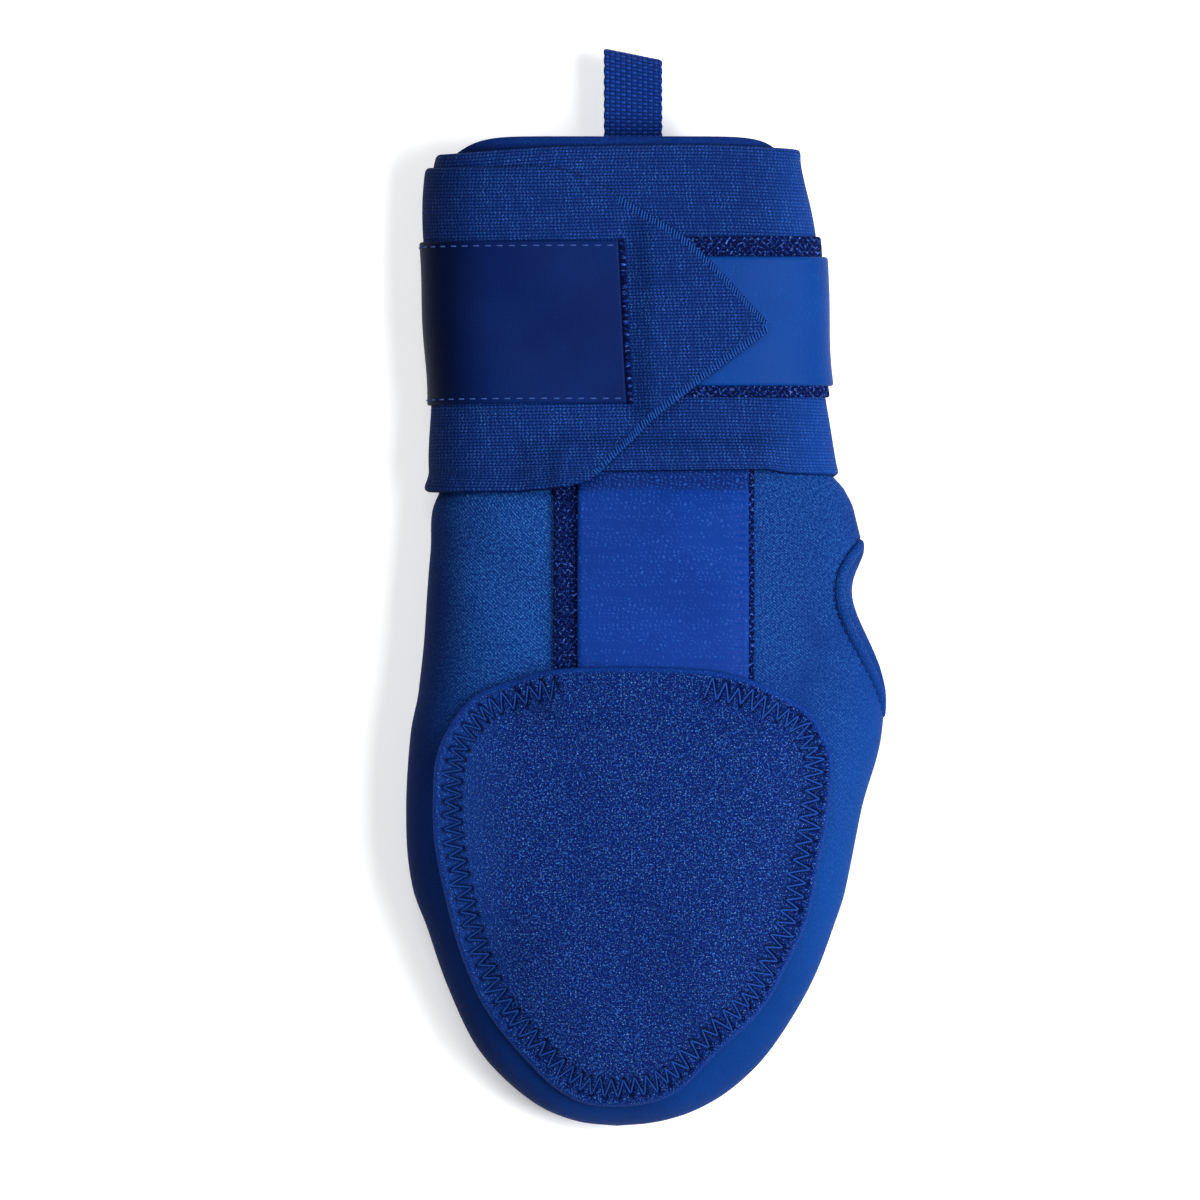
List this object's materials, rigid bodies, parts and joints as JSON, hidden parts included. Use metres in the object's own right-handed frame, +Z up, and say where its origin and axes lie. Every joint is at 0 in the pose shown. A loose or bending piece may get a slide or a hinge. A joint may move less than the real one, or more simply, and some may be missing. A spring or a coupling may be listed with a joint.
{
  "type": "sliding mitt",
  "caption": "Padded sliding mitt for the right hand, with a domed textured back pad, a back strap, a thumb opening, a wrapped elastic cuff with a pointed end and a pull loop.",
  "frame": {"origin": "on the flat resting face of the palm, 100 mm from the fingertips", "axes": "+Z up from the palm to the back of the hand, +Y from the fingertips to the cuff, +X to the thumb side"},
  "size_m": [0.141, 0.3162, 0.05],
  "materials": {
    "shell": "heathered royal blue neoprene jersey",
    "binding": "turned and stitched royal blue hem",
    "pad": "dark royal blue textured moulded pad",
    "loop_tape": "navy loop tape pile",
    "strap": "smooth brushed royal blue strap",
    "elastic": "ribbed navy blue knitted elastic",
    "tab": "smooth bright blue tab",
    "label": "smooth navy patch with stitched edge",
    "webbing": "plain woven blue webbing"
  },
  "bodies": {
    "root": {"hand_shell": "shell", "thumb_binding": "binding", "finger_pad": "pad", "back_loop_base": "loop_tape", "back_strap": "strap", "wrist_wrap": "elastic", "closure_loop": "loop_tape", "closure_tab": "tab", "label_patch": "label", "pull_loop": "webbing"}
  },
  "joints": []
}
